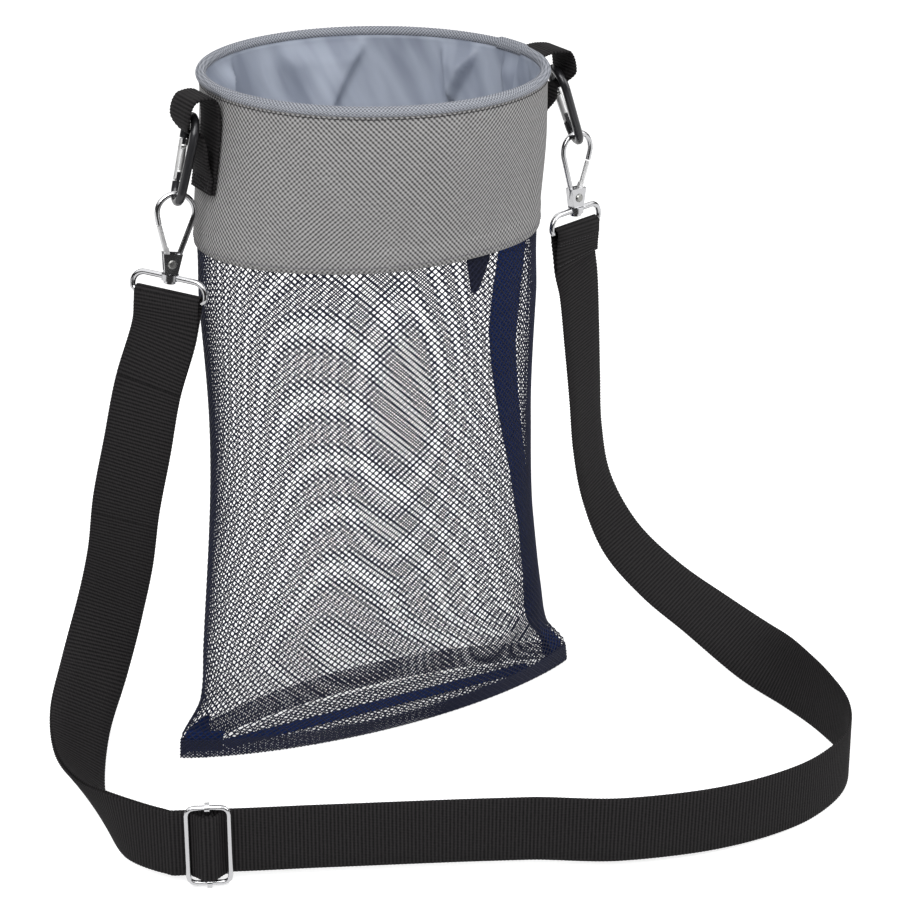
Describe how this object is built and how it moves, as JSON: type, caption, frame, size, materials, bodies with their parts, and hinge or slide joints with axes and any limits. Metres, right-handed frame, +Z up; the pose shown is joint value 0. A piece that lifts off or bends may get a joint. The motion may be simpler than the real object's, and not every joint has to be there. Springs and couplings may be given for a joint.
{
  "type": "peg bag",
  "caption": "Round-mouthed net bag with a woven collar and hooped rim, hung from a webbing shoulder strap by carabiners and swivel snap hooks.",
  "frame": {"origin": "middle of the flat base, on the floor", "axes": "+X from the left tab to the right tab, +Y from the front to the back, +Z up"},
  "size_m": [0.435, 0.3292, 0.3882],
  "materials": {
    "woven_collar": "heathered two-tone plain weave",
    "nylon_lining": "smooth nylon with soft creases",
    "rim_tape": "woven binding tape over piping",
    "net": "knitted diamond net",
    "net_tape": "flat woven tape",
    "black_webbing": "ribbed woven webbing",
    "black_anodised": "satin black anodised",
    "nickel_plate": "bright nickel plate",
    "steel_pin": "plain steel",
    "spring_wire": "drawn wire"
  },
  "bodies": {
    "bag": {"collar_panel": "woven_collar", "collar_lining": "nylon_lining", "rim_binding": "rim_tape", "rim_hoop": "spring_wire", "binding_overlap": "rim_tape", "mesh_body": "net", "side_seam_tape": "net_tape", "loose_tape_end": "net_tape", "bottom_seam_tape": "net_tape", "left_tab_webbing": "black_webbing", "right_tab_webbing": "black_webbing", "shoulder_strap": "black_webbing"},
    "slider": {"slider_frame": "nickel_plate", "slider_bar": "nickel_plate"},
    "left_clip": {"left_carabiner_body": "black_anodised", "left_carabiner_hinge_pin": "steel_pin"},
    "left_clip_gate": {"left_carabiner_gate": "nickel_plate", "left_carabiner_nose_pin": "steel_pin"},
    "left_hook": {"left_hook_body": "nickel_plate", "left_hook_rivet": "steel_pin"},
    "left_hook_gate": {"left_hook_gate": "nickel_plate"},
    "left_ring": {"left_strap_ring": "nickel_plate"},
    "right_clip": {"right_carabiner_body": "black_anodised", "right_carabiner_hinge_pin": "steel_pin"},
    "right_clip_gate": {"right_carabiner_gate": "nickel_plate", "right_carabiner_nose_pin": "steel_pin"},
    "right_hook": {"right_hook_body": "nickel_plate", "right_hook_rivet": "steel_pin"},
    "right_hook_gate": {"right_hook_gate": "nickel_plate"},
    "right_ring": {"right_strap_ring": "nickel_plate"}
  },
  "joints": [
    {"name": "left_clip_swing", "type": "hinge", "parent": "bag", "child": "left_clip", "pos_m": [-0.10495, 0, 0.371], "axis": [0, 1, 0], "range_deg": [-2, 35], "deforming": ["shoulder_strap", "left_tab_webbing"]},
    {"name": "left_clip_gate_open", "type": "hinge", "parent": "left_clip", "child": "left_clip_gate", "pos_m": [-0.1117, 0.00746, 0.33849], "axis": [0.9556, -0.1736, -0.2382], "range_deg": [0, 28], "stiffness_Nm_per_rad": 0.02, "springref_deg": -20.05},
    {"name": "left_hook_swing", "type": "hinge", "parent": "left_clip", "child": "left_hook", "pos_m": [-0.11588, 0, 0.32714], "axis": [0.1685, 0.9848, -0.042], "range_deg": [-2, 30], "deforming": ["shoulder_strap"]},
    {"name": "left_hook_gate_open", "type": "hinge", "parent": "left_hook", "child": "left_hook_gate", "pos_m": [-0.12052, 0, 0.29417], "axis": [0.172, 0.9848, -0.0242], "range_deg": [0, 18], "stiffness_Nm_per_rad": 0.02, "springref_deg": -20.05},
    {"name": "left_ring_swivel", "type": "hinge", "parent": "left_hook", "child": "left_ring", "pos_m": [-0.1153, 0, 0.3313], "axis": [0.1392, 0, 0.9903], "range_deg": [-40, 10], "deforming": ["shoulder_strap"]},
    {"name": "right_clip_swing", "type": "hinge", "parent": "bag", "child": "right_clip", "pos_m": [0.11295, 0, 0.371], "axis": [0, -1, 0], "range_deg": [-3, 35], "deforming": ["shoulder_strap", "right_tab_webbing"]},
    {"name": "right_clip_gate_open", "type": "hinge", "parent": "right_clip", "child": "right_clip_gate", "pos_m": [0.12553, 0.00746, 0.34027], "axis": [0.9254, -0.1736, 0.3368], "range_deg": [0, 28], "stiffness_Nm_per_rad": 0.02, "springref_deg": -20.05},
    {"name": "right_hook_swing", "type": "hinge", "parent": "right_clip", "child": "right_hook", "pos_m": [0.12841, 0, 0.32853], "axis": [-0.1632, -0.9848, -0.0594], "range_deg": [-2, 35], "deforming": ["shoulder_strap"]},
    {"name": "right_hook_gate_open", "type": "hinge", "parent": "right_hook", "child": "right_hook_gate", "pos_m": [0.12841, 0, 0.29523], "axis": [0.1564, -0.9877, 0], "range_deg": [0, 18], "stiffness_Nm_per_rad": 0.02, "springref_deg": -20.05},
    {"name": "right_ring_swivel", "type": "hinge", "parent": "right_hook", "child": "right_ring", "pos_m": [0.12841, 0, 0.33273], "axis": [0, 0, 1], "range_deg": [-20, 40], "deforming": ["shoulder_strap"]},
    {"name": "slider_travel", "type": "slide", "parent": "bag", "child": "slider", "axis": [0.9125, -0.4091, 0], "range_m": [0, 0.15], "deforming": ["shoulder_strap"]}
  ]
}
